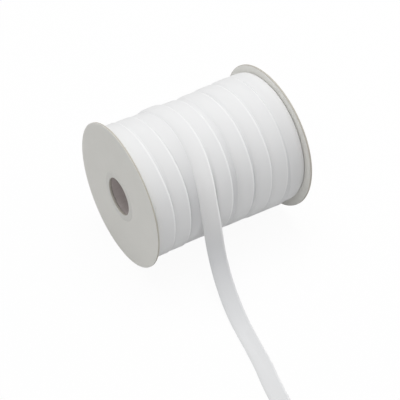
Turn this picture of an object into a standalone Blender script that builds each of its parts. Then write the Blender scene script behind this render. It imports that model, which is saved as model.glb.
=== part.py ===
"""Roll of velvet ribbon: a 10 mm ribbon wound on a card spool that lies on its side, with its end pulled out.

Metres, +Z up. The spool's axis runs along X, the surface it lies on is z = 0, and the loose end runs toward -Y.
The origin is on that surface, below the middle of the box that holds the spool and its loose end.
"""

import math

import bmesh
import bpy
import numpy as np

MM = 0.001

# Spool: two card discs on a paper tube
FLANGE_DIAMETER = 0.082
FLANGE_THICKNESS = 0.0012
OVERALL_WIDTH = 0.096
HOLE_DIAMETER = 0.0215
TUBE_BORE_DIAMETER = 0.0222
TUBE_WALL = 0.0025
COLLAR_DIAMETER = 0.0275
COLLAR_HEIGHT = 0.0003
COLLAR_SLOPE = 0.0008
RIM_ROUNDING = 0.0003
RIM_FLAT_DEPTH = 0.0003
TOUCH_GAP = 0.0003

# Ribbon
RIBBON_WIDTH = 0.010
RIBBON_THICKNESS = 0.0010

# How finely the shapes are divided
FLANGE_STEPS = 72
TUBE_STEPS = 48
WINDING_STEPS = 72
TAIL_STEPS = 60
TAIL_COLUMNS = 2

# Angles go round the axis from the back (+Y) over the top to the front. The ribbon's end leaves the roll here.
LEAVING_ANGLE = math.radians(171)
# The last layer moves on by one place over this much of a turn, round the underside and back
TRAVEL_ANGLE = math.radians(245)

# Turns across the roll where the photo shows them: the visible stretch of each along the axis, and how far its
# tucked-in left edge and its raised right edge stand from the axis, in mm, from the near flange to the far one.
# Two turns of the layer below come first, then a bare valley, then the last layer, with the loose end's turn first.
FIRST_TURNS = (
    # left, right, low, high
    (-46.5, -36.0, 37.5, 37.8),
    (-36.0, -26.3, 37.2, 37.8),
)
LAST_TURNS = (
    # left, right, low, high
    (-18.6, -8.4, 38.1, 38.4),
    (-8.4, 1.6, 37.2, 37.6),
    (4.1, 14.2, 37.2, 37.9),
    (15.5, 26.0, 37.0, 38.0),
    (26.0, 35.6, 37.6, 38.3),
    (35.6, 46.5, 37.6, 36.3),
)
TURN_COLUMNS = 5
VALLEY_RADIUS = 37.0
GAP_RADIUS = 36.8
FULL_GAP = 1.0
GAP_SLACK = 0.2
CROWN = 0.25
EDGE_SOFTNESS = 0.9
EDGE_DROP = 0.3
SWAY = 1.4
SWAY_PEAK = math.radians(115)
SWAY_FADE = 12.0

# Loose end: the middle of the ribbon, from the spool's axis, in mm. It comes off the front of the roll, drops and
# lies down, then runs out over the surface.
LOOSE_END_ROUTE = (
    # x, y, z
    (-13.9, -37.5, 5.3),
    (-13.7, -38.9, -4.5),
    (-13.7, -40.6, -12.6),
    (-14.2, -43.7, -19.4),
    (-15.2, -48.2, -25.1),
    (-16.5, -54.4, -30.2),
    (-18.0, -61.6, -34.4),
    (-19.4, -69.3, -37.4),
    (-21.2, -78.5, -39.4),
    (-22.5, -86.8, -40.2),
    (-23.7, -95.2, -40.2),
    (-25.3, -103.7, -40.2),
    (-27.3, -111.9, -40.2),
    (-29.4, -120.1, -40.2),
    (-31.1, -128.3, -40.2),
    (-32.8, -137.5, -40.2),
)

FLANGE_RADIUS = FLANGE_DIAMETER / 2
TUBE_BORE_RADIUS = TUBE_BORE_DIAMETER / 2
TUBE_RADIUS = TUBE_BORE_RADIUS + TUBE_WALL
INNER_FACE = OVERALL_WIDTH / 2 - FLANGE_THICKNESS
WOUND_HALF_WIDTH = INNER_FACE - TOUCH_GAP
WOUND_EDGE = round(WOUND_HALF_WIDTH / MM, 6)
AXIS_HEIGHT = FLANGE_RADIUS - RIM_FLAT_DEPTH
WELD = 1e-6


def loose_end_reach():
    """How far the foremost corner of the cut end lies in front of the axis."""
    (x0, y0, _), (x1, y1, _) = LOOSE_END_ROUTE[-2:]
    slant = abs(x1 - x0) / math.hypot(x1 - x0, y1 - y0)
    return -y1 * MM + RIBBON_WIDTH / 2 * slant


AXIS_Y = (loose_end_reach() - FLANGE_RADIUS) / 2


def new_collection(name):
    collection = bpy.data.collections.new(name)
    bpy.context.scene.collection.children.link(collection)
    return collection


def material(name, colour, roughness):
    made = bpy.data.materials.new(name)
    made.use_nodes = True
    shader = made.node_tree.nodes["Principled BSDF"]
    shader.inputs["Base Color"].default_value = (*colour, 1)
    shader.inputs["Roughness"].default_value = roughness
    shader.inputs["Metallic"].default_value = 0
    return made


def new_object(name, mesh, collection, finish):
    made = bpy.data.objects.new(name, mesh)
    collection.objects.link(made)
    mesh.materials.append(finish)
    return made


def turned(name, profile, steps, side, collection, finish):
    """A closed profile of (radius, height) turned about local Z, laid along X with its top toward side."""
    mesh = bpy.data.meshes.new(name)
    count = len(profile)
    mesh.from_pydata(
        [(radius, 0, height) for radius, height in profile],
        [(i, (i + 1) % count) for i in range(count)],
        [],
    )
    made = new_object(name, mesh, collection, finish)
    made.rotation_euler = (0, side * math.pi / 2, 0)
    made.location = (0, AXIS_Y, AXIS_HEIGHT)
    screw = made.modifiers.new("Turn", "SCREW")
    screw.axis = "Z"
    screw.angle = 2 * math.pi
    screw.steps = steps
    screw.render_steps = steps
    screw.use_merge_vertices = True
    screw.merge_threshold = 1e-5
    return made


def flange(name, side, collection, finish, cutter):
    """A card disc, pressed up into a low collar round its hole. side is -1 for the near flange, 1 for the far one."""
    hole = HOLE_DIAMETER / 2
    collar = COLLAR_DIAMETER / 2
    face = FLANGE_THICKNESS
    profile = (
        (hole, face + COLLAR_HEIGHT / 2),
        (hole + COLLAR_SLOPE / 2, face + COLLAR_HEIGHT),
        (collar, face + COLLAR_HEIGHT),
        (collar + COLLAR_SLOPE, face),
        (FLANGE_RADIUS - RIM_ROUNDING, face),
        (FLANGE_RADIUS, face - RIM_ROUNDING),
        (FLANGE_RADIUS, RIM_ROUNDING),
        (FLANGE_RADIUS - RIM_ROUNDING, 0),
        (hole, 0),
    )
    made = turned(name, profile, FLANGE_STEPS, side, collection, finish)
    made.location.x = side * INNER_FACE
    cut = made.modifiers.new("Rim flat", "BOOLEAN")
    cut.operation = "DIFFERENCE"
    cut.object = cutter


def rim_flat_cutter(collection):
    """A box whose top is the surface that the spool lies on. It flattens the rims where they bear."""
    depth = 0.01
    box = bmesh.new()
    bmesh.ops.create_cube(box, size=1)
    bmesh.ops.scale(box, verts=box.verts, vec=(1.2 * OVERALL_WIDTH, FLANGE_DIAMETER, depth))
    mesh = bpy.data.meshes.new("rim_flat_cutter")
    box.to_mesh(mesh)
    box.free()
    made = bpy.data.objects.new("rim_flat_cutter", mesh)
    collection.objects.link(made)
    made.location = (0, AXIS_Y, -depth / 2)
    made.hide_render = True
    made.display_type = "WIRE"
    return made


def core_tube(collection, finish):
    """The paper tube between the two discs."""
    profile = (
        (TUBE_BORE_RADIUS, WOUND_HALF_WIDTH),
        (TUBE_RADIUS, WOUND_HALF_WIDTH),
        (TUBE_RADIUS, -WOUND_HALF_WIDTH),
        (TUBE_BORE_RADIUS, -WOUND_HALF_WIDTH),
    )
    turned("core_tube", profile, TUBE_STEPS, 1, collection, finish)


def smoothstep(value):
    t = min(max(value, 0.0), 1.0)
    return t * t * (3 - 2 * t)


def blended(before, after, share):
    return tuple(a + (b - a) * share for a, b in zip(before, after))


def sway(angle, x):
    """A slow wave of the last layer's turns along the axis, which dies out at the far flange."""
    return SWAY * (math.cos(angle - SWAY_PEAK) - 1) * smoothstep((WOUND_EDGE - x) / SWAY_FADE)


def turn_columns(left, right, low, high):
    """Columns across one turn, as (x, radius)."""
    soft = min(EDGE_SOFTNESS, (right - left) / 3)
    return [
        (left, low),
        (left + soft, low + CROWN / 2),
        ((left + right) / 2, (low + high) / 2 + CROWN),
        (right - soft / 2, high),
        (right, high - EDGE_DROP),
    ]


def gap_columns(left, right, low):
    """Columns across the bare strip between two turns, which closes up where they meet."""
    slack = min(GAP_SLACK, (right - left) / 3)
    radius = low + (GAP_RADIUS - low) * smoothstep((right - left) / FULL_GAP)
    return [(left + slack, radius), (right - slack, radius)]


def ring(angle):
    """The winding's outline at one angle, as (x, radius) from the near flange to the far one.

    Each turn of the last layer starts from the place of its right-hand neighbour, just past the leaving angle, and
    has reached its own place when it comes round to the front again. A turn that hasn't begun waits at the flange.
    """
    shift = smoothstep((angle - LEAVING_ANGLE) / TRAVEL_ANGLE)
    at_flange = (WOUND_EDGE, WOUND_EDGE, LAST_TURNS[-1][3], LAST_TURNS[-1][3])
    places = [*LAST_TURNS, at_flange]
    turns = []
    for place, start in zip(places, places[1:]):
        left, right, low, high = blended(start, place, shift)
        turns.append((left + sway(angle, left), right + sway(angle, right), low, high))
    columns = [column for turn in FIRST_TURNS for column in turn_columns(*turn)]
    loose_turn_left = LAST_TURNS[0][0] + sway(angle, LAST_TURNS[0][0])
    columns += [
        (FIRST_TURNS[-1][1] + GAP_SLACK, VALLEY_RADIUS),
        (loose_turn_left - GAP_SLACK, VALLEY_RADIUS),
        (turns[0][0] - GAP_SLACK, VALLEY_RADIUS),
    ]
    for turn, following in zip(turns, [*turns[1:], None]):
        columns += turn_columns(*turn)
        if following:
            columns += gap_columns(turn[1], following[0], following[2])
    free = [column for column in columns if column[0] < WOUND_EDGE - WELD / MM]
    at_edge = (WOUND_EDGE, columns[len(free)][1])
    return free + [at_edge] * (len(columns) - len(free))


def wound_ribbon(collection, finish):
    """One solid of the wound ribbon: a sleeve round the tube, whose outside carries the turns as a helix.

    After a whole turn the outline meets the one it started from, one turn further along. Only the loose end's own
    turn has no partner there, so it ends in a cut face one ribbon high.
    """
    inner = (TUBE_RADIUS + TOUCH_GAP) / MM
    angles = [LEAVING_ANGLE + 2 * math.pi * step / WINDING_STEPS for step in range(WINDING_STEPS + 1)]
    outlines = [[(-WOUND_EDGE, inner), *ring(angle), (WOUND_EDGE, inner)] for angle in angles]
    shape = bmesh.new()
    rows = []
    for angle, outline in zip(angles, outlines):
        row = []
        for x, radius in outline:
            y = AXIS_Y + radius * MM * math.cos(angle)
            z = AXIS_HEIGHT + radius * MM * math.sin(angle)
            row.append(shape.verts.new((x * MM, y, z)))
        rows.append(row)
    width = len(rows[0])
    for here, ahead in zip(rows, rows[1:]):
        for column in range(width):
            beside = (column + 1) % width
            shape.faces.new((here[column], ahead[column], ahead[beside], here[beside]))
    # Columns at the cut face: the valley's last two and the turn beside it, where the bare layer starts and ends
    valley = 1 + TURN_COLUMNS * len(FIRST_TURNS) + 1
    turn = valley + 2
    bare = rows[0][valley : turn + 1]
    covered = rows[-1][turn : turn + TURN_COLUMNS]
    shape.faces.new([*bare, *reversed(covered)])
    bmesh.ops.remove_doubles(shape, verts=shape.verts, dist=WELD)
    bmesh.ops.triangulate(shape, faces=shape.faces)
    mesh = bpy.data.meshes.new("wound_ribbon")
    shape.to_mesh(mesh)
    shape.free()
    new_object("wound_ribbon", mesh, collection, finish)


def along_route(steps):
    """Points on one smooth curve through the route's points, as rows of (x, y, z) from the axis, in mm.

    Each stretch between two points is the cubic that leaves and arrives along the line between their neighbours.
    """
    route = np.array(LOOSE_END_ROUTE)
    slopes = np.gradient(route, axis=0)
    place = np.linspace(0, len(route) - 1, steps + 1)
    before = np.minimum(place.astype(int), len(route) - 2)
    t = (place - before)[:, None]
    start, end = route[before], route[before + 1]
    leaving, arriving = slopes[before], slopes[before + 1]
    return (
        (2 * t**3 - 3 * t**2 + 1) * start
        + (t**3 - 2 * t**2 + t) * leaving
        + (3 * t**2 - 2 * t**3) * end
        + (t**3 - t**2) * arriving
    )


def loose_end(collection, finish):
    """The ribbon from where it leaves the roll to its cut end: a strip as wide as the ribbon, then its thickness."""
    middle = along_route(TAIL_STEPS) * MM + np.array([0, AXIS_Y, AXIS_HEIGHT])
    middle[:, 2] = np.maximum(middle[:, 2], RIBBON_THICKNESS / 2)
    ahead = np.gradient(middle, axis=0)
    ahead /= np.linalg.norm(ahead, axis=1, keepdims=True)
    along_axis = np.array([1.0, 0.0, 0.0])
    across = along_axis - ahead * (ahead @ along_axis)[:, None]
    across /= np.linalg.norm(across, axis=1, keepdims=True)
    places = np.linspace(-RIBBON_WIDTH / 2, RIBBON_WIDTH / 2, TAIL_COLUMNS + 1)
    points = middle[:, None, :] + across[:, None, :] * places[None, :, None]
    width = TAIL_COLUMNS + 1
    faces = []
    for step in range(TAIL_STEPS):
        for column in range(TAIL_COLUMNS):
            here = step * width + column
            faces.append((here, here + 1, here + width + 1, here + width))
    mesh = bpy.data.meshes.new("loose_end")
    mesh.from_pydata(points.reshape(-1, 3).tolist(), [], faces)
    made = new_object("loose_end", mesh, collection, finish)
    thick = made.modifiers.new("Thickness", "SOLIDIFY")
    thick.thickness = RIBBON_THICKNESS
    thick.offset = 0
    thick.use_even_offset = True


def main():
    for old in list(bpy.data.objects):
        bpy.data.objects.remove(old, do_unlink=True)
    parts = new_collection("Roll of velvet ribbon")
    cutters = new_collection("Cutters")
    card = material("grey-white faced card", (0.53, 0.53, 0.50), 0.75)
    paper = material("wound kraft paper", (0.27, 0.24, 0.23), 0.9)
    velvet = material("white velvet", (0.87, 0.87, 0.86), 0.95)
    cutter = rim_flat_cutter(cutters)
    flange("near_flange", -1, parts, card, cutter)
    flange("far_flange", 1, parts, card, cutter)
    core_tube(parts, paper)
    wound_ribbon(parts, velvet)
    loose_end(parts, velvet)


main()
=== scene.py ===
"""Roll of velvet ribbon: the paper tube, the card discs, the ribbon turn by turn, and its loose end."""
import math

import bpy
import mathutils
import numpy as np
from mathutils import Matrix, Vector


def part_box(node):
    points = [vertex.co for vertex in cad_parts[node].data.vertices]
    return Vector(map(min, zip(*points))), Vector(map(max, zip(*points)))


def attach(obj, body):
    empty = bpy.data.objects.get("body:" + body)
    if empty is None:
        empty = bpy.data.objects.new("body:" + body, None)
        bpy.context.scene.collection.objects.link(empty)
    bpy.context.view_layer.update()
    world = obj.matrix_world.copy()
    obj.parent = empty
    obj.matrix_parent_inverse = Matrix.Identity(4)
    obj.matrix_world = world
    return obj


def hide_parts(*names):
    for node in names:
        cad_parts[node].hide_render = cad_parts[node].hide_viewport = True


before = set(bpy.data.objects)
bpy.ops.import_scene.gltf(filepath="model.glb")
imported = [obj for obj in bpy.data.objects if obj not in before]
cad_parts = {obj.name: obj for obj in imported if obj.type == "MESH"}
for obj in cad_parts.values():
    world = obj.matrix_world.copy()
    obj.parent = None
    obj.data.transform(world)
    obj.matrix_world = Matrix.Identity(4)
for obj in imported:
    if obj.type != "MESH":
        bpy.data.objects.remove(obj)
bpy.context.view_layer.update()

# Core tube: a length of spirally wound paper tube with a wall of 2.5 mm, cut square and glued to both
# discs. Its bore shows in shade through their holes, with the fine seam that the wound strip of paper
# leaves.
MM = 0.001
TUBE_BORE = 11.1
TUBE_OUTSIDE = 13.6
TUBE_HALF_LENGTH = 46.5
TUBE_STEPS_ALONG = 187
TUBE_STEPS_ROUND = 96
SEAM_LEAD = 34.0
SEAM_DEPTH = 0.12
SEAM_WIDTH = 1.1
# An edge that turns by more degrees than this is shaded crisp
TUBE_CRISP_FROM = 40
TUBE_PAPER = "#D8D0CE"
TUBE_PAPER_DARK = "#C4BBB9"

# The axis of the spool, where the near flange's solid has it
flange_low, flange_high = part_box("near_flange")
FLANGE_RADIUS = (flange_high[1] - flange_low[1]) / 2 / MM
AXIS_Y = (flange_low[1] + flange_high[1]) / 2
AXIS_Z = flange_high[2] - FLANGE_RADIUS * MM


def surface(name, points, round_rows, round_columns, uv=None, nap_and_painted_shading=None):
    """A mesh object over a grid of points, rows by columns. Either way of the grid can close on itself, and
    the open ends of a tube get one flat face each. Faces are turned to look outward, by the sign of the
    volume. uv gives each grid point its place in the piece's own pattern, and the last argument each row's
    grey: the lean of the pile, together with painted shade and painted light."""
    rows, columns = points.shape[:2]
    index = np.arange(rows * columns).reshape(rows, columns)
    here = index if round_rows else index[:-1]
    here = here if round_columns else here[:, :-1]
    ahead = np.roll(index, -1, axis=0)[: here.shape[0], : here.shape[1]]
    beside = np.roll(index, -1, axis=1)[: here.shape[0], : here.shape[1]]
    across = np.roll(np.roll(index, -1, axis=0), -1, axis=1)[: here.shape[0], : here.shape[1]]
    quads = np.stack([here, ahead, across, beside], axis=-1).reshape(-1, 4)
    flat = points.reshape(-1, 3)
    corners = flat[quads]
    volume = np.einsum("ij,ij->", corners[:, 0], np.cross(corners[:, 1], corners[:, 2]))
    volume += np.einsum("ij,ij->", corners[:, 0], np.cross(corners[:, 2], corners[:, 3]))
    inside_out = volume < 0
    if inside_out:
        quads = quads[:, ::-1]
    faces = quads.tolist()
    open_tube = round_columns and not round_rows
    if open_tube:
        first, last = index[0].tolist(), index[-1].tolist()
        faces += [first[::-1], last] if inside_out else [first, last[::-1]]
    mesh = bpy.data.meshes.new(name)
    mesh.from_pydata(flat.tolist(), [], faces)
    mesh.shade_smooth()
    if uv is not None:
        corner = np.empty(len(mesh.loops), np.int32)
        mesh.loops.foreach_get("vertex_index", corner)
        layer = mesh.uv_layers.new(name="ribbon_mm")
        layer.data.foreach_set("uv", uv.reshape(-1, 2)[corner].ravel().astype(np.float32))
    if nap_and_painted_shading is not None:
        mesh.attributes.new("nap_and_painted_shading", "FLOAT", "POINT").data.foreach_set("value", np.repeat(nap_and_painted_shading, columns))
    mesh.validate()
    made = bpy.data.objects.new(name, mesh)
    bpy.context.scene.collection.objects.link(made)
    return made


def linear(colour):
    """A hex colour, in sRGB, as Blender's linear red, green, blue and alpha."""
    parts = [int(colour[i : i + 2], 16) / 255 for i in (1, 3, 5)]
    return tuple(p / 12.92 if p <= 0.04045 else ((p + 0.055) / 1.055) ** 2.4 for p in parts) + (1.0,)


def add(tree, kind, inputs=None, **settings):
    """One new node. inputs gives each of its sockets a value, or the output that feeds it."""
    made = tree.nodes.new(kind)
    for name, value in settings.items():
        setattr(made, name, value)
    for socket, value in (inputs or {}).items():
        if isinstance(value, bpy.types.NodeSocket):
            tree.links.new(value, made.inputs[socket])
        else:
            made.inputs[socket].default_value = value
    return made


def finish_of(name, **sockets):
    """A new material and its shader, with the shader's own sockets set."""
    made = bpy.data.materials.new(name)
    made.use_nodes = True
    shader = made.node_tree.nodes["Principled BSDF"]
    for socket, value in sockets.items():
        shader.inputs[socket.replace("_", " ")].default_value = value
    return made, made.node_tree, shader


def wear(piece, *materials, slots=None):
    """Gives a new piece its materials. slots, where given, is each face's place in that list."""
    for made in materials:
        piece.data.materials.append(made)
    if slots is not None:
        piece.data.polygons.foreach_set("material_index", np.asarray(slots).astype(np.int32))
    return piece


def tube_bore(name):
    """The bore lies SEAM_DEPTH deeper along a helix, as a bell curve of the distance from the seam. The
    outside is plain, as the ribbon hides it."""
    along = np.linspace(-TUBE_HALF_LENGTH, TUBE_HALF_LENGTH, TUBE_STEPS_ALONG)
    angle = np.arange(TUBE_STEPS_ROUND)[:, None] * 2 * np.pi / TUBE_STEPS_ROUND
    from_seam = (along / SEAM_LEAD - angle / (2 * np.pi) + 0.5) % 1 - 0.5
    dip = SEAM_DEPTH * np.exp(-((from_seam * SEAM_LEAD / SEAM_WIDTH) ** 2))
    bore = TUBE_BORE + dip
    ends = np.array([TUBE_HALF_LENGTH, -TUBE_HALF_LENGTH])
    x = np.concatenate([along, ends])
    radius = np.concatenate([bore, np.full((TUBE_STEPS_ROUND, 2), TUBE_OUTSIDE)], axis=1)
    y = AXIS_Y + radius * MM * np.cos(angle)
    z = AXIS_Z + radius * MM * np.sin(angle)
    made = surface(name, np.stack([np.broadcast_to(x * MM, y.shape), y, z], axis=-1), True, True)
    made.data.set_sharp_from_angle(angle=math.radians(TUBE_CRISP_FROM))
    return made


# Wound chip paper: matt and a little fibrous. Its fibres are too fine to show, so the streaks drawn along
# the tube are about 6 mm long and 1.5 mm wide.
tube_paper, tree, shader = finish_of("spirally wound chip paper", Roughness=0.92, Specular_IOR_Level=0.25)
place = add(tree, "ShaderNodeTexCoord").outputs["Object"]
fibres = add(tree, "ShaderNodeMapping", {"Vector": place, "Scale": (160, 700, 700)})
mottle = add(tree, "ShaderNodeTexNoise", {"Vector": fibres.outputs["Vector"], "Scale": 1.0, "Detail": 4.0})
tone = add(tree, "ShaderNodeMix", {"Factor": mottle.outputs["Fac"], "A": linear(TUBE_PAPER_DARK),
                                   "B": linear(TUBE_PAPER)}, data_type="RGBA")
tree.links.new(tone.outputs["Result"], shader.inputs["Base Color"])
rough = add(tree, "ShaderNodeBump", {"Height": mottle.outputs["Fac"], "Strength": 0.4, "Distance": 0.0001})
tree.links.new(rough.outputs["Normal"], shader.inputs["Normal"])

tube = wear(tube_bore("paper_tube"), tube_paper)
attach(tube, "root")
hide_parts("core_tube")

# Card discs: 1.2 mm greyboard, faced on both sides with off-white paper and die-cut. The tube's end is
# pressed into the back, which raises a faint collar round the hole. The cut rim shows the board's
# grey-cream plies.
DISC_INNER_FACE = 46.8
DISC_HOLE = 10.75
COLLAR_RADIUS = 13.75
DISC_RADIUS = 41.0
DISC_STEPS = 256
TURNED_CRISP_FROM = 35

# How far the two discs are out of true. Angles are in degrees, from the back of the roll up over its top.
NEAR_GROWTH = 0.41
NEAR_SWELL = 0.46
NEAR_SWELL_TOWARDS = 56
NEAR_BEND = 0.55
NEAR_BEND_AT = 95
FAR_GROWTH = 0.65
FAR_SWELL = 0.36
FAR_SWELL_TOWARDS = 30
FAR_BEND = 0.6
FAR_LEAN = 0.52
FAR_LEAN_TOWARDS = -9
FAR_WARP = 0.5
FAR_WARP_AT = 66

CARD_FACE = "#EBEAE5"
CARD_FACE_SHADE = "#E5E4DF"
CARD_PRESSED = "#DBDAD6"
CARD_CORE = "#C9C5BC"
CARD_CORE_DARK = "#B9B4AA"

# The disc's outline from the hole out along its outer face, round the rim and back along its inner face, as
# (height above the inner face, distance from the axis, material of the stretch to the next point)
DISC_OUTLINE = (
    # height, radius, material: 0 is the paper facing, 1 the cut edge, 2 the pressed collar
    (0.12, DISC_HOLE, 1),
    (1.15, DISC_HOLE + 0.02, 2),
    (1.38, DISC_HOLE + 0.16, 2),
    (1.46, DISC_HOLE + 0.42, 2),
    (1.48, DISC_HOLE + 1.0, 2),
    (1.49, COLLAR_RADIUS - 0.9, 2),
    (1.46, COLLAR_RADIUS - 0.35, 2),
    (1.38, COLLAR_RADIUS, 2),
    (1.22, COLLAR_RADIUS + 0.3, 2),
    (1.16, COLLAR_RADIUS + 0.6, 0),
    (1.2, COLLAR_RADIUS + 1.1, 0),
    (1.2, 20.0, 0),
    (1.2, 28.0, 0),
    (1.2, 36.0, 0),
    (1.19, 39.0, 0),
    (1.15, 40.2, 0),
    (1.08, 40.75, 0),
    (1.0, 40.94, 0),
    (0.9, DISC_RADIUS, 1),
    (0.2, DISC_RADIUS, 1),
    (0.06, 40.96, 1),
    (0.0, 40.8, 0),
    (0.0, 38.0, 0),
    (0.0, 28.0, 0),
    (0.0, 18.0, 0),
    (0.0, DISC_HOLE + 0.15, 1),
)

# Paper facing: matt and nearly even, with a faint cloudiness of the pulp, about 11 mm across, and a tooth
# of under a millimetre.
card_face, tree, shader = finish_of("matt paper facing", Roughness=0.72, Specular_IOR_Level=0.35)
place = add(tree, "ShaderNodeTexCoord").outputs["Object"]
cloud = add(tree, "ShaderNodeTexNoise", {"Vector": place, "Scale": 90.0, "Detail": 3.0, "Roughness": 0.6})
tone = add(tree, "ShaderNodeMix", {"Factor": cloud.outputs["Fac"], "A": linear(CARD_FACE_SHADE),
                                   "B": linear(CARD_FACE)}, data_type="RGBA")
tree.links.new(tone.outputs["Result"], shader.inputs["Base Color"])
pulp = add(tree, "ShaderNodeTexNoise", {"Vector": place, "Scale": 1400.0, "Detail": 2.0})
rough = add(tree, "ShaderNodeBump", {"Height": pulp.outputs["Fac"], "Strength": 0.25, "Distance": 0.00004})
tree.links.new(rough.outputs["Normal"], shader.inputs["Normal"])

# The same paper on the collar, a shade darker and smoother.
card_collar, tree, shader = finish_of("pressed paper facing", Roughness=0.6, Specular_IOR_Level=0.4)
place = add(tree, "ShaderNodeTexCoord").outputs["Object"]
cloud = add(tree, "ShaderNodeTexNoise", {"Vector": place, "Scale": 220.0, "Detail": 3.0, "Roughness": 0.6})
tone = add(tree, "ShaderNodeMix", {"Factor": cloud.outputs["Fac"], "A": linear(CARD_PRESSED),
                                   "B": linear(CARD_FACE_SHADE)}, data_type="RGBA")
tree.links.new(tone.outputs["Result"], shader.inputs["Base Color"])

# Bare board where the disc is cut: matt and rough, in plies a fifth of a millimetre thick.
card_edge, tree, shader = finish_of("die-cut greyboard edge", Roughness=0.95, Specular_IOR_Level=0.2)
place = add(tree, "ShaderNodeTexCoord").outputs["Object"]
plies = add(tree, "ShaderNodeMapping", {"Vector": place, "Scale": (5200, 60, 60)})
layers = add(tree, "ShaderNodeTexNoise", {"Vector": plies.outputs["Vector"], "Scale": 1.0, "Detail": 2.0})
tone = add(tree, "ShaderNodeMix", {"Factor": layers.outputs["Fac"], "A": linear(CARD_CORE_DARK),
                                   "B": linear(CARD_CORE)}, data_type="RGBA")
tree.links.new(tone.outputs["Result"], shader.inputs["Base Color"])
rough = add(tree, "ShaderNodeBump", {"Height": layers.outputs["Fac"], "Strength": 0.5, "Distance": 0.00006})
tree.links.new(rough.outputs["Normal"], shader.inputs["Normal"])


def turned(name, outline, steps, shape, nap_and_painted_shading=None):
    """A closed outline turned round the spool's axis. A point of the outline at distance r from the axis
    and x along it goes to (x, r cos a, r sin a), as the angle a runs once round, after shape has moved x
    and r by the angle. The last argument gives each angle's grey: the lean of the pile, together with
    painted shade. Nothing reaches below the surface the spool lies on."""
    along, radius = np.array(outline).T
    angle = np.arange(steps)[:, None] * 2 * np.pi / steps
    along, radius = shape(along, radius, angle)
    y = AXIS_Y + radius * MM * np.cos(angle)
    z = np.maximum(AXIS_Z + radius * MM * np.sin(angle), 0)
    points = np.stack([np.broadcast_to(along * MM, y.shape), y, z], axis=-1)
    uv = np.stack([np.broadcast_to(along, y.shape), np.broadcast_to(angle * radius, y.shape)], axis=-1)
    made = surface(name, points, True, True, uv=uv, nap_and_painted_shading=nap_and_painted_shading)
    made.data.set_sharp_from_angle(angle=math.radians(TURNED_CRISP_FROM))
    return made


def rim_growth(radius, angle, growth, swell, towards):
    """The cut rim runs a little out of true with the hole: it is wider by growth all round and by swell on
    the side towards, as a cosine. The hole stays true, as the sixth power of the distance from the axis
    keeps it."""
    return (growth + swell * np.cos(angle - math.radians(towards))) * (radius / DISC_RADIUS) ** 6


def near_shape(along, radius, angle):
    """The near disc's card bends out at the top, by NEAR_BEND at its rim and evenly down to none at the
    collar, falling off as the square of the cosine of the angle from NEAR_BEND_AT. Its rim grows as
    rim_growth says."""
    reach = np.clip((radius - COLLAR_RADIUS) / (DISC_RADIUS - COLLAR_RADIUS), 0, 1)
    bend = NEAR_BEND * np.clip(np.cos(angle - math.radians(NEAR_BEND_AT)), 0, 1) ** 2 * reach
    growth = rim_growth(radius, angle, NEAR_GROWTH, NEAR_SWELL, NEAR_SWELL_TOWARDS)
    return along - bend, radius + growth


def far_bend(radius, angle):
    """How far the far disc's card comes in towards the ribbon, growing evenly from the collar out to the
    rim: by FAR_BEND all round, by FAR_LEAN on one side, as a cosine, and by FAR_WARP on two sides, as a
    cosine of twice the angle."""
    reach = np.clip((radius - COLLAR_RADIUS) / (DISC_RADIUS - COLLAR_RADIUS), 0, 1)
    lean = FAR_LEAN * np.cos(angle - math.radians(FAR_LEAN_TOWARDS))
    warp = FAR_WARP * np.cos(2 * (angle - math.radians(FAR_WARP_AT)))
    return (FAR_BEND + lean + warp) * reach


def far_shape(along, radius, angle):
    """The far disc's card comes in by far_bend, and its rim grows as rim_growth says."""
    growth = rim_growth(radius, angle, FAR_GROWTH, FAR_SWELL, FAR_SWELL_TOWARDS)
    return along - far_bend(radius, angle), radius + growth


def card_disc(name, side, node, shape):
    """A disc at one end of the tube: DISC_OUTLINE, with its heights laid off outward from DISC_INNER_FACE
    on that side of the middle, -1 or 1, turned round the axis and moved by shape."""
    outline = [(side * (DISC_INNER_FACE + height), radius) for height, radius, material in DISC_OUTLINE]
    slots = np.tile([material for height, radius, material in DISC_OUTLINE], DISC_STEPS)
    made = wear(turned(name, outline, DISC_STEPS, shape), card_face, card_edge, card_collar, slots=slots)
    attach(made, "root")
    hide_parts(node)


card_disc("near_card_disc", -1, "near_flange", near_shape)
card_disc("far_card_disc", 1, "far_flange", far_shape)

# The pack: all the ribbon below the turns that show, wound tight, so only its outside matters. It is seen
# as the floor of the bare strips between turns and where the ribbon dips to the far disc.
PACK_INSIDE = 13.9
PACK_HALF_LENGTH = 46.5
PACK_STEPS = 192

# The outside of the pack, as (place along the axis, distance from it)
PACK_SURFACE = (
    (-PACK_HALF_LENGTH, 36.8),
    (-46.2, 37.2),
    (-27.0, 37.2),
    (-26.0, 36.4),
    (-18.5, 36.4),
    (-16.0, 36.8),
    (-10.0, 37.2),
    (-6.0, 37.2),
    (0.0, 36.8),
    (15.6, 36.9),
    (17.0, 37.3),
    (34.5, 37.5),
    (36.2, 37.6),
    (38.5, 37.2),
    (42.0, 36.3),
    (46.2, 35.9),
    (PACK_HALF_LENGTH, 35.7),
)
PACK_SLACK = 0.8
PACK_SLACK_AT = 172
PACK_FULL = 0.15
PACK_FULL_AT = 226
PACK_END_FROM = 36
PACK_END_OVER = 10

PILE_LIGHT = "#F4F4F4"
PILE_SHADE = "#EEEEEE"
# The grey that the pile is drawn towards, both where it leans over and as painted shade
PILE_LEAN_AND_SHADE = "#D2D3D5"
# How grey the pack's pile is drawn all round, and how much greyer at the front, as painted shade on the
# floors of the bare strips there
PACK_NAP = 0.3
PACK_PAINTED_SHADE_FRONT = 0.3
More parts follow.
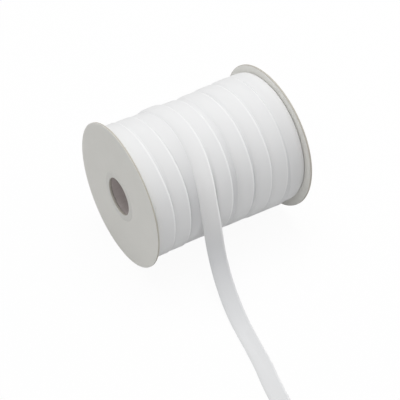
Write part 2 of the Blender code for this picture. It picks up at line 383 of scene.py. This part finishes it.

# White velvet: a dense short pile, so it is matt, softly bright where it is seen along the surface, and
# faintly clouded in patches of about 5 by 14 mm. Its tufts are a fifth of a millimetre, too fine to show,
# so the grain drawn here is half a millimetre. It is drawn greyer by the piece's per-point grey: partly
# where the pile leans over, partly as painted shade, and lighter than usual as painted light.
velvet, tree, shader = finish_of("short-pile white velvet", Roughness=0.95, Specular_IOR_Level=0.15,
                                 Sheen_Weight=0.2, Sheen_Roughness=0.5)
place = add(tree, "ShaderNodeUVMap", uv_map="ribbon_mm").outputs["UV"]
lean_at = add(tree, "ShaderNodeMapping", {"Vector": place, "Scale": (0.22, 0.07, 1.0)})
lean = add(tree, "ShaderNodeTexNoise", {"Vector": lean_at.outputs["Vector"], "Scale": 1.0, "Detail": 2.0})
tuft = add(tree, "ShaderNodeTexNoise", {"Vector": place, "Scale": 2.0, "Detail": 3.0, "Roughness": 0.6})
both = add(tree, "ShaderNodeMix", {"Factor": 0.5, "A": lean.outputs["Fac"], "B": tuft.outputs["Fac"]})
tone = add(tree, "ShaderNodeMix", {"Factor": both.outputs["Result"], "A": linear(PILE_SHADE),
                                   "B": linear(PILE_LIGHT)}, data_type="RGBA")
nap_and_painted_shading = add(tree, "ShaderNodeAttribute", attribute_name="nap_and_painted_shading")
leaned_and_shaded = add(tree, "ShaderNodeMix", {"Factor": nap_and_painted_shading.outputs["Fac"], "A": tone.outputs["Result"],
                                      "B": linear(PILE_LEAN_AND_SHADE)}, data_type="RGBA")
tree.links.new(leaned_and_shaded.outputs["Result"], shader.inputs["Base Color"])
rough = add(tree, "ShaderNodeBump", {"Height": tuft.outputs["Fac"], "Strength": 0.35, "Distance": 0.00008})
tree.links.new(rough.outputs["Normal"], shader.inputs["Normal"])


def pack_shape(along, radius, angle):
    """The pack's surface lies PACK_SLACK lower at the front, falling off as the fourth power of the cosine
    of the angle from there, and PACK_FULL higher below the front, as the eighth power. From PACK_END_FROM
    on it comes, evenly over PACK_END_OVER, to follow the far disc."""
    front = PACK_SLACK * np.clip(np.cos(angle - math.radians(PACK_SLACK_AT)), 0, 1) ** 4
    below = PACK_FULL * np.clip(np.cos(angle - math.radians(PACK_FULL_AT)), 0, 1) ** 8
    by_far_end = np.clip((along - PACK_END_FROM) / PACK_END_OVER, 0, 1)
    sag = (below - front) * (radius > PACK_INSIDE) * (1 - by_far_end)
    return along - by_far_end * far_bend(radius, angle), radius + sag


pack_outline = ((-PACK_HALF_LENGTH, PACK_INSIDE), *PACK_SURFACE, (PACK_HALF_LENGTH, PACK_INSIDE))
# Painted shade: the pack is drawn greyer at the front, falling off as the fourth power of the cosine of the
# angle from where it lies lowest
pack_front_shade_weight = np.cos(np.arange(PACK_STEPS) * 2 * np.pi / PACK_STEPS - math.radians(PACK_SLACK_AT))
pack_grey_and_painted_shade = PACK_NAP + PACK_PAINTED_SHADE_FRONT * np.clip(pack_front_shade_weight, 0, 1) ** 4
pack = wear(turned("ribbon_pack", pack_outline, PACK_STEPS, pack_shape, nap_and_painted_shading=pack_grey_and_painted_shade), velvet)
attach(pack, "root")
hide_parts("wound_ribbon")

# Layer below: about three and a half turns near the near disc, where the last layer leaves the roll bare.
# The same velvet, wound from the near disc towards the far one, each turn beside the one before it, pile
# outward.
RIBBON_WIDTH = 10.0
RIBBON_THICKNESS = 0.9
RIBBON_CRISP_FROM = 50
WINDING_STEP = 2.5
# The selvedge's whites, a painted highlight as well as the weave's own tone
SELVEDGE_HIGHLIGHT = "#FDFDFD"
SELVEDGE_HIGHLIGHT_LOOPS = "#F8F8F8"
BACK_WEAVE = "#ECECEC"
BACK_SHADE = "#E6E6E6"

# The selvedge: a tight bead of white warp along the right edge, without pile and smoother, with a loop of
# weft each half millimetre. It is drawn far whiter than the pile and only on the right edges: partly its
# own lighter weave, partly a painted highlight where light from the right catches the raised edges. It
# greys with the pile, by the same mix.
selvedge, tree, shader = finish_of("woven selvedge bead, painted highlight", Roughness=0.6, Specular_IOR_Level=0.4,
                                   Sheen_Weight=0.3, Sheen_Roughness=0.4)
place = add(tree, "ShaderNodeUVMap", uv_map="ribbon_mm").outputs["UV"]
loops = add(tree, "ShaderNodeTexWave", {"Vector": place, "Scale": 0.6, "Distortion": 0.8},
            bands_direction="Y")
tone = add(tree, "ShaderNodeMix", {"Factor": loops.outputs["Fac"], "A": linear(SELVEDGE_HIGHLIGHT_LOOPS),
                                   "B": linear(SELVEDGE_HIGHLIGHT)}, data_type="RGBA")
nap_and_painted_shading = add(tree, "ShaderNodeAttribute", attribute_name="nap_and_painted_shading")
leaned_and_shaded = add(tree, "ShaderNodeMix", {"Factor": nap_and_painted_shading.outputs["Fac"], "A": tone.outputs["Result"],
                                      "B": linear(PILE_LEAN_AND_SHADE)}, data_type="RGBA")
tree.links.new(leaned_and_shaded.outputs["Result"], shader.inputs["Base Color"])

# The woven back: flat polyester satin, a little glossier than the pile, with a fine rib across it at each
# pick. The picks are drawn a little under half a millimetre apart, coarser than they are, so they show.
backing, tree, shader = finish_of("woven satin back", Roughness=0.6, Specular_IOR_Level=0.4,
                                  Sheen_Weight=0.1)
place = add(tree, "ShaderNodeUVMap", uv_map="ribbon_mm").outputs["UV"]
picks = add(tree, "ShaderNodeTexWave", {"Vector": place, "Scale": 0.7, "Distortion": 0.6, "Detail": 1.0},
            bands_direction="Y")
tone = add(tree, "ShaderNodeMix", {"Factor": picks.outputs["Fac"], "A": linear(BACK_SHADE),
                                   "B": linear(BACK_WEAVE)}, data_type="RGBA")
tree.links.new(tone.outputs["Result"], shader.inputs["Base Color"])
ribs = add(tree, "ShaderNodeBump", {"Height": picks.outputs["Fac"], "Strength": 0.4, "Distance": 0.00005})
tree.links.new(ribs.outputs["Normal"], shader.inputs["Normal"])

# The ribbon's section, from its left edge over the pile to its right edge, then back along its woven back,
# as (place across, height above the back, material of the stretch to the next point). At its left edge the
# pile rounds down to a thin line of selvedge. At its right edge the selvedge stands up as a small bead, and
# falls off at the very end.
RIBBON_SECTION = (
    # across, height, material: 0 is pile, 1 the woven back, 2 the selvedge, drawn whiter as a painted
    # highlight
    (-5.0, 0.1, 2),
    (-4.96, 0.24, 0),
    (-4.85, 0.38, 0),
    (-4.65, 0.5, 0),
    (-4.4, 0.6, 0),
    (-4.1, 0.69, 0),
    (-3.7, 0.77, 0),
    (-3.2, 0.84, 0),
    (-2.6, 0.88, 0),
    (-1.8, 0.9, 0),
    (-0.9, 0.9, 0),
    (0.0, 0.9, 0),
    (0.9, 0.9, 0),
    (1.8, 0.9, 0),
    (2.6, 0.9, 0),
    (3.4, 0.9, 0),
    (3.85, 0.92, 2),
    (4.05, 0.93, 2),
    (4.25, 0.89, 2),
    (4.45, 0.79, 2),
    (4.65, 0.66, 2),
    (4.82, 0.53, 2),
    (4.95, 0.4, 2),
    (5.0, 0.26, 2),
    (5.0, 0.1, 1),
    (4.9, 0.0, 1),
    (3.2, 0.0, 1),
    (1.6, 0.0, 1),
    (0.0, 0.0, 1),
    (-1.6, 0.0, 1),
    (-3.2, 0.0, 1),
    (-4.9, 0.0, 1),
)
# How sharply an edge curves down from the middle
DROP_POWER = 2.5
# How far the winding stands off centre, towards the upper back, for each mm past LEAN_FROM along the axis
LEAN_PER_MM = 0.0104
LEAN_FROM = -20.0
LEAN_TOWARDS = 45.0
# The winding's slight ripples in and out, each with its height and the number of its waves in a turn
LONG_RIPPLE = 0.05
LONG_RIPPLE_WAVES = 1.7
LONG_RIPPLE_START = 0.6
SHORT_RIPPLE = 0.04
SHORT_RIPPLE_WAVES = 4.3


def smooth(table, at):
    """A smooth curve through a table's rows, read at the places in at. Between two rows it is the cubic
    that leaves and arrives at the mean slope of the stretches on either side, of which the shorter counts
    for more."""
    table = np.array(table, float)
    knots, values = table[:, 0], table[:, 1:]
    slopes = np.gradient(values, knots, axis=0)
    before = np.clip(np.searchsorted(knots, at, side="right") - 1, 0, len(knots) - 2)
    span = (knots[before + 1] - knots[before])[:, None]
    t = (np.asarray(at) - knots[before])[:, None] / span
    return (
        (2 * t**3 - 3 * t**2 + 1) * values[before]
        + (t**3 - 2 * t**2 + t) * span * slopes[before]
        + (3 * t**2 - 2 * t**3) * values[before + 1]
        + (t**3 - t**2) * span * slopes[before + 1]
    )


def wound_path(angles, middles, radii, naps_and_painted_shading):
    """The middle of the ribbon's thickness as it winds, in mm: at the angle a it is (x, r cos a, r sin a),
    where r is the pile's distance from the axis less half the thickness, with the lean off centre and the
    ripples added. With it come the way outward, no tilt, the drop of each edge below the middle and the
    pile's grey, its lean with painted shade and light. angles runs on from turn to turn. middles gives x by
    angle, radii how far the pile's left edge, middle and right edge stand from the axis, and the last table
    that grey."""
    x = smooth(middles, angles)[:, 0]
    left, middle, right = smooth(radii, angles).T
    turn = np.radians(angles)
    ripple = LONG_RIPPLE * np.sin(turn * LONG_RIPPLE_WAVES + LONG_RIPPLE_START)
    ripple += SHORT_RIPPLE * np.sin(turn * SHORT_RIPPLE_WAVES + x)
    off_centre = np.clip(x - LEAN_FROM, 0, None) * LEAN_PER_MM * np.cos(turn - math.radians(LEAN_TOWARDS))
    radius = middle - RIBBON_THICKNESS / 2 + off_centre + ripple
    points = np.stack([x, radius * np.cos(turn), radius * np.sin(turn)], axis=1)
    outward = np.stack([np.zeros_like(x), np.cos(turn), np.sin(turn)], axis=1)
    return points, outward, 0 * x, middle - left, middle - right, smooth(naps_and_painted_shading, angles)[:, 0]


def ribbon(name, points, outward, tilt, left_drop, right_drop, nap_and_painted_shading):
    """The ribbon's section carried along a path in mm. At each point the section lies square to the path,
    with its width along the axis, turned by tilt. Each edge drops below the middle, by its drop times the
    DROP_POWER power of the distance from the middle, which is 1 at the edge. The last argument is its
    pile's
    grey: the lean of the pile with painted shade and light. No point lies lower above the table than above
    the ribbon's own back, so the ribbon isn't pressed thinner there. The ribbon's length comes back with
    the piece, in metres."""
    ahead = np.gradient(points, axis=0)
    ahead /= np.linalg.norm(ahead, axis=1, keepdims=True)
    across = np.array([1.0, 0.0, 0.0]) - ahead * ahead[:, :1]
    across /= np.linalg.norm(across, axis=1, keepdims=True)
    across = across + outward * tilt[:, None]
    across /= np.linalg.norm(across, axis=1, keepdims=True)
    up = np.cross(across, ahead)
    up *= np.sign(np.einsum("ij,ij->i", up, outward))[:, None]
    section = np.array(RIBBON_SECTION)
    place, height = section[:, 0], section[:, 1] - RIBBON_THICKNESS / 2
    to_left, to_right = np.clip([-place, place], 0, None) / (RIBBON_WIDTH / 2)
    rise = height - left_drop[:, None] * to_left**DROP_POWER - right_drop[:, None] * to_right**DROP_POWER
    grid = points[:, None, :] + across[:, None, :] * place[None, :, None]
    grid = grid + up[:, None, :] * rise[:, :, None]
    placed = grid * MM + np.array([0, AXIS_Y, AXIS_Z])
    placed[:, :, 2] = np.maximum(placed[:, :, 2], section[:, 1] * MM)
    run = np.concatenate([[0], np.cumsum(np.linalg.norm(np.diff(points, axis=0), axis=1))])
    uv = np.stack([np.broadcast_to(place, rise.shape), np.broadcast_to(run[:, None], rise.shape)], axis=-1)
    made = surface(name, placed, False, True, uv=uv, nap_and_painted_shading=nap_and_painted_shading)
    made.data.set_sharp_from_angle(angle=math.radians(RIBBON_CRISP_FROM))
    cut_ends = [0, 0]
    slots = np.concatenate([np.tile(section[:, 2], len(points) - 1), cut_ends])
    return wear(made, velvet, backing, selvedge, slots=slots), run[-1] * MM


# Where the ribbon lies as it winds. The angle is in degrees, from the back of the roll up over its top, and
# runs on from turn to turn.
BELOW_MIDDLES = (
    # angle, middle along the axis
    (-139, -41.3),
    (-60, -41.3),
    (45, -41.4),
    (90, -41.2),
    (130, -40.6),
    (150, -39.9),
    (190, -39.9),
    (221, -40.1),
    (405, -32),
    (460, -30.9),
    (480, -30.4),
    (510, -29.95),
    (530, -30.2),
    (581, -30.3),
    (765, -21.9),
    (840, -21.4),
    (941, -20.5),
    (1020, -17.2),
    (1085, -14.3),
)
BELOW_RADII = (
    # angle, left edge, middle, right edge
    (-139, 37.3, 37.4, 37.4),
    (-60, 37.5, 37.7, 37.6),
    (45, 37.6, 37.85, 37.85),
    (100, 37.5, 37.85, 37.85),
    (140, 37.5, 37.8, 37.8),
    (180, 37.4, 37.7, 37.7),
    (221, 37.3, 37.5, 37.5),
    (320, 37.2, 37.6, 37.6),
    (405, 37.15, 37.65, 37.65),
    (470, 37.1, 37.65, 37.65),
    (510, 36.9, 37.6, 37.6),
    (545, 36.9, 37.55, 37.55),
    (581, 37.1, 37.4, 37.4),
    (700, 37.1, 37.2, 37.2),
    (765, 37.4, 37.35, 37.3),
    (800, 37.1, 37.15, 37.15),
    (830, 36.5, 36.85, 36.85),
    (860, 35.65, 36.35, 36.4),
    (905, 35.6, 36.25, 36.3),
    (941, 36.7, 37.0, 37.0),
    (1085, 36.8, 36.9, 36.9),
)
BELOW_NAP_AND_PAINTED_SHADE = (
    # angle, lean of the pile with painted shade, greyest in the strip beside the last turn, where that
    # turn's shadow falls
    (-139, 0.25),
    (760, 0.25),
    (800, 0.25),
    (840, 0.3),
    (868, 0.48),
    (890, 0.65),
    (910, 0.5),
    (935, 0.25),
    (960, 0.25),
    (1000, 0.25),
    (1085, 0.25),
)
angles = np.arange(BELOW_MIDDLES[0][0], BELOW_MIDDLES[-1][0] + 1, WINDING_STEP)
below, below_length = ribbon("layer_below", *wound_path(angles, BELOW_MIDDLES, BELOW_RADII, BELOW_NAP_AND_PAINTED_SHADE))
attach(below, "root")

# Last layer and loose end: one length of the same ribbon, wound back from the far disc towards the near one
# in just under six turns, with bare strips between some of them. It leaves the front of the roll, drops and
# lies on the table.
LAST_MIDDLES = (
    # angle, middle along the axis
    (-1939, 41.1),
    (-1860, 40.9),
    (-1800, 40.9),
    (-1770, 40.6),
    (-1740, 40.6),
    (-1710, 41),
    (-1680, 41.5),
    (-1650, 41.8),
    (-1630, 41.75),
    (-1610, 41.5),
    (-1590, 41.25),
    (-1579, 41.1),
    (-1380, 30.5),
    (-1350, 30.8),
    (-1320, 31.4),
    (-1300, 31.2),
    (-1285, 31.1),
    (-1270, 30.6),
    (-1250, 29.6),
    (-1219, 27.5),
    (-1020, 19.6),
    (-970, 20.7),
    (-945, 21),
    (-930, 21.1),
    (-910, 20.5),
    (-890, 19.4),
    (-859, 16.9),
    (-660, 9),
    (-630, 9.4),
    (-605, 10.1),
    (-585, 9.95),
    (-570, 9.9),
    (-550, 9.25),
    (-530, 8.1),
    (-499, 5.7),
    (-300, -4),
    (-260, -3),
    (-230, -2.85),
    (-210, -3.2),
    (-190, -3.9),
    (-170, -4.75),
    (-139, -6.6),
    (60, -13.9),
    (80, -13),
    (110, -12.5),
    (130, -13),
    (145, -13.8),
    (158, -14.2),
    (171, -14.2),
)
LAST_RADII = (
    # angle, left edge, middle, right edge
    (-1939, 37.5, 37.6, 37.2),
    (-1860, 37.5, 37.8, 37.2),
    (-1770, 37.7, 37.9, 37.2),
    (-1710, 37.7, 37.8, 36.8),
    (-1685, 37.5, 37.65, 36.9),
    (-1655, 37.3, 37.6, 36.6),
    (-1635, 37.3, 37.6, 36.2),
    (-1610, 37.4, 37.6, 36.2),
    (-1590, 37.6, 37.7, 36.5),
    (-1579, 37.5, 37.6, 37.3),
    (-1460, 37.4, 37.7, 37.6),
    (-1395, 37.45, 37.9, 37.9),
    (-1310, 37.5, 38.0, 38.0),
    (-1270, 37.4, 38.0, 38.0),
    (-1240, 37.4, 37.95, 37.95),
    (-1219, 37.4, 37.75, 37.75),
    (-1100, 37.2, 37.65, 37.65),
    (-1035, 37.1, 37.65, 37.65),
    (-990, 37.15, 37.75, 37.75),
    (-950, 37.15, 37.75, 37.75),
    (-910, 37.2, 37.75, 37.75),
    (-880, 37.3, 37.6, 37.6),
    (-859, 37.2, 37.4, 37.4),
    (-740, 37.0, 37.35, 37.35),
    (-675, 36.95, 37.3, 37.3),
    (-610, 37.0, 37.45, 37.45),
    (-570, 37.0, 37.5, 37.5),
    (-550, 36.8, 37.5, 37.5),
    (-520, 37.0, 37.4, 37.4),
    (-499, 37.1, 37.25, 37.25),
    (-380, 37.0, 37.25, 37.25),
    (-315, 37.2, 37.35, 37.35),
    (-270, 37.0, 37.35, 37.35),
    (-210, 37.15, 37.35, 37.35),
    (-180, 37.15, 37.35, 37.35),
    (-139, 36.9, 37.15, 37.15),
    (-70, 37.8, 38.15, 38.0),
    (45, 37.75, 38.3, 38.1),
    (80, 37.4, 38.3, 38.2),
    (110, 37.3, 38.3, 38.2),
    (130, 37.3, 38.4, 38.3),
    (150, 37.3, 38.5, 38.3),
    (171, 37.3, 38.5, 38.3),
)
LAST_NAP_AND_PAINTED_LIGHT = (
    # angle, lean of the pile; lower over the front of the last turn, from about 110 degrees to where it
    # leaves, as painted light
    (-1939, 0.25),
    (0, 0.25),
    (80, 0.25),
    (110, 0.22),
    (135, 0.1),
    (150, 0.0),
    (171, 0.0),
)
LEAVING_ANGLE = 171
LOOSE_STEP = 1.3
LOOSE_FINE_POINTS = 1200
LOOSE_END_ROUTE = (
    # the middle of the ribbon from the spool's axis: x, y, z
    (-13.6, -38.85, -4.5),
    (-13.4, -40.6, -12.6),
    (-14.0, -43.7, -19.4),
    (-15.0, -48.2, -25.1),
    (-16.35, -54.4, -30.2),
    (-17.8, -61.6, -34.4),
    (-19.3, -69.3, -37.4),
    (-20.95, -78.5, -39.4),
    (-22.4, -86.8, -40.2),
    (-23.9, -95.2, -40.2),
    (-25.4, -103.7, -40.2),
    (-26.95, -111.9, -40.2),
    (-28.95, -120.1, -40.2),
    (-30.75, -128.3, -40.2),
    (-32.55, -137.5, -40.2),
)
LOOSE_TWIST = (
    # distance from the roll, drop of the left edge and of the right edge below the middle, rise of the
    # right edge over the left, lean of the pile with painted shade and light: lighter where it leaves the
    # roll, greyest about 30 mm on, and greyer on the table than on the roll
    (0, 1.2, 0.2, 0.0, 0.0),
    (8, 1.2, 0.1, 1.6, 0.1),
    (16, 0.9, 0.0, 2.4, 0.3),
    (24, 0.5, 0.0, 2.1, 0.7),
    (30, 0.1, 0.0, 1.7, 0.85),
    (40, 0.0, 0.0, 1.5, 0.82),
    (50, 0.0, 0.0, 1.0, 0.8),
    (62, 0.0, 0.0, 0.5, 0.76),
    (69, 0.0, 0.0, 0.1, 0.7),
    (76, 0.0, 0.0, -0.9, 0.64),
    (88, 0.0, 0.0, -1.6, 0.6),
    (100, 0.0, 0.0, -0.8, 0.57),
    (112, 0.0, 0.0, 0.0, 0.55),
    (300, 0.0, 0.0, 0.0, 0.55),
)


def loose_path(start):
    """The loose end's path, a smooth curve through start and then the route's points, read every LOOSE_STEP
    of its own length. With it come the way outward, square to the path and to the axis, as on the roll, and
    the distance run."""
    route = np.array([start, *LOOSE_END_ROUTE])
    place = np.concatenate([[0], np.cumsum(np.linalg.norm(np.diff(route, axis=0), axis=1))])
    fine = smooth(np.column_stack([place, route]), np.linspace(0, place[-1], LOOSE_FINE_POINTS))
    run = np.concatenate([[0], np.cumsum(np.linalg.norm(np.diff(fine, axis=0), axis=1))])
    at = np.linspace(0, run[-1], int(run[-1] / LOOSE_STEP))
    points = np.stack([np.interp(at, run, column) for column in fine.T], axis=1)
    ahead = np.gradient(points, axis=0)
    outward = np.stack([np.zeros(len(at)), ahead[:, 2], -ahead[:, 1]], axis=1)
    outward /= np.linalg.norm(outward, axis=1, keepdims=True)
    return points, outward, at


angles = np.arange(LAST_MIDDLES[0][0], LEAVING_ANGLE, WINDING_STEP)
wound, wound_out, wound_tilt, wound_left, wound_right, wound_nap_and_painted_light = wound_path(
    np.append(angles, LEAVING_ANGLE), LAST_MIDDLES, LAST_RADII, LAST_NAP_AND_PAINTED_LIGHT
)
loose, loose_out, loose_run = loose_path(wound[-1])
loose_left, loose_right, loose_rise, loose_nap_and_painted_shade = smooth(LOOSE_TWIST, loose_run).T
last, last_length = ribbon(
    "last_layer_and_loose_end",
    np.concatenate([wound, loose[1:]]),
    np.concatenate([wound_out, loose_out[1:]]),
    np.concatenate([wound_tilt, loose_rise[1:] / RIBBON_WIDTH]),
    np.concatenate([wound_left, loose_left[1:]]),
    np.concatenate([wound_right, loose_right[1:]]),
    np.concatenate([wound_nap_and_painted_light, loose_nap_and_painted_shade[1:]]),
)
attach(last, "root")
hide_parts("loose_end")

# Studio: a pale grey table in soft light. A round softbox hangs overhead, a little behind the roll, and a
# weaker one stands low past the far disc. The photograph is a cut-out on white, so the camera sees a
# glowing white sweep in place of the table, which only sends its light to the roll.
SKY_LEVEL = 0.48
SKY_RISE = (-0.19, -0.04, 0.16)
SOFTBOXES = (
    # name, where it stands from the spool's axis in metres, width, power
    ("overhead_softbox", (0.1, 0.19, 0.96), 0.8, 4.8),
    ("side_softbox", (0.97, -0.2, 0.12), 0.5, 3.26),
)
TABLE_TONE = "#CDCDCD"
TABLE_BELOW = 0.0003
SWEEP_BELOW = 0.0001
SWEEP_RADIUS = 4.0
SWEEP_STEPS = 48
FLOOR_RINGS = 9
WALL_RINGS = 13
SWEEP_GLOW = 0.94
SWEEP_SHADOW = "#424242"
WHITE = "#FFFFFF"

# An even white sky, a little brighter from above and from the near disc's side: SKY_LEVEL plus the product
# of SKY_RISE and the direction
world = bpy.data.worlds.new("soft studio light")
bpy.context.scene.world = world
world.use_nodes = True
tree = world.node_tree
direction = add(tree, "ShaderNodeTexCoord").outputs["Generated"]
rise = add(tree, "ShaderNodeVectorMath", {0: direction, 1: SKY_RISE}, operation="DOT_PRODUCT")
level = add(tree, "ShaderNodeMath", {0: rise.outputs["Value"], 1: SKY_LEVEL}, operation="ADD")
tree.links.new(level.outputs["Value"], tree.nodes["Background"].inputs["Strength"])
tree.nodes["Background"].inputs["Color"].default_value = linear(WHITE)

# The sweep, ring by ring: level out to SWEEP_RADIUS, then up and over as a half sphere
sweep_angle = np.arange(SWEEP_STEPS)[:, None] * 2 * np.pi / SWEEP_STEPS
wall_angle = np.radians(np.linspace(0, 90, WALL_RINGS))
floor_reach = np.linspace(0, SWEEP_RADIUS, FLOOR_RINGS)[:-1]
ring_reach = np.concatenate([floor_reach, SWEEP_RADIUS * np.cos(wall_angle)])
ring_height = np.concatenate([0 * floor_reach, SWEEP_RADIUS * np.sin(wall_angle)])
dome_x = ring_reach * np.cos(sweep_angle)
dome_y = ring_reach * np.sin(sweep_angle)
dome = np.stack([dome_x, dome_y, np.broadcast_to(ring_height, dome_x.shape)], axis=-1)

table_top = surface("table_top", dome[:, :FLOOR_RINGS] - [0, 0, TABLE_BELOW], True, False)
table_tone, tree, shader = finish_of("pale table", Roughness=0.9)
shader.inputs["Base Color"].default_value = linear(TABLE_TONE)
wear(table_top, table_tone)
table_top.visible_camera = False

sweep = surface("white_sweep", dome - [0, 0, SWEEP_BELOW], True, False)
white, tree, shader = finish_of("white sweep", Roughness=1.0, Specular_IOR_Level=0.0,
                                Emission_Strength=SWEEP_GLOW)
shader.inputs["Base Color"].default_value = linear(SWEEP_SHADOW)
shader.inputs["Emission Color"].default_value = linear(WHITE)
wear(sweep, white)
sweep.visible_diffuse = False
sweep.visible_glossy = False
sweep.visible_transmission = False
sweep.visible_shadow = False

for box_name, stands_at, width, power in SOFTBOXES:
    light = bpy.data.lights.new(box_name, "AREA")
    light.shape = "DISK"
    light.size = width
    light.energy = power
    softbox = bpy.data.objects.new(box_name, light)
    bpy.context.scene.collection.objects.link(softbox)
    softbox.location = np.array(stands_at) + [0, AXIS_Y, AXIS_Z]
    softbox.rotation_euler = mathutils.Vector(stands_at).to_track_quat("Z", "Y").to_euler()
    softbox.visible_camera = False

# Camera: a long lens at the photograph's angle, 31 degrees round from the front and 43 degrees up. Its
# place from the spool's axis is in disc radii.
CAMERA_FROM_AXIS = (-8.03049, -13.32378, 14.08729)
CAMERA_LENS = 142.22
CAMERA_SENSOR = 36.0
CAMERA_ABOVE = 43.424
CAMERA_ROUND = -31.271

camera_data = bpy.data.cameras.new("camera")
camera_data.lens = CAMERA_LENS
camera_data.sensor_width = CAMERA_SENSOR
camera = bpy.data.objects.new("camera", camera_data)
bpy.context.scene.collection.objects.link(camera)
camera.location = np.array(CAMERA_FROM_AXIS) * FLANGE_RADIUS * MM + np.array([0, AXIS_Y, AXIS_Z])
camera.rotation_euler = (math.radians(90 - CAMERA_ABOVE), 0, math.radians(CAMERA_ROUND))
bpy.context.scene.camera = camera
bpy.context.scene.view_settings.view_transform = "Standard"
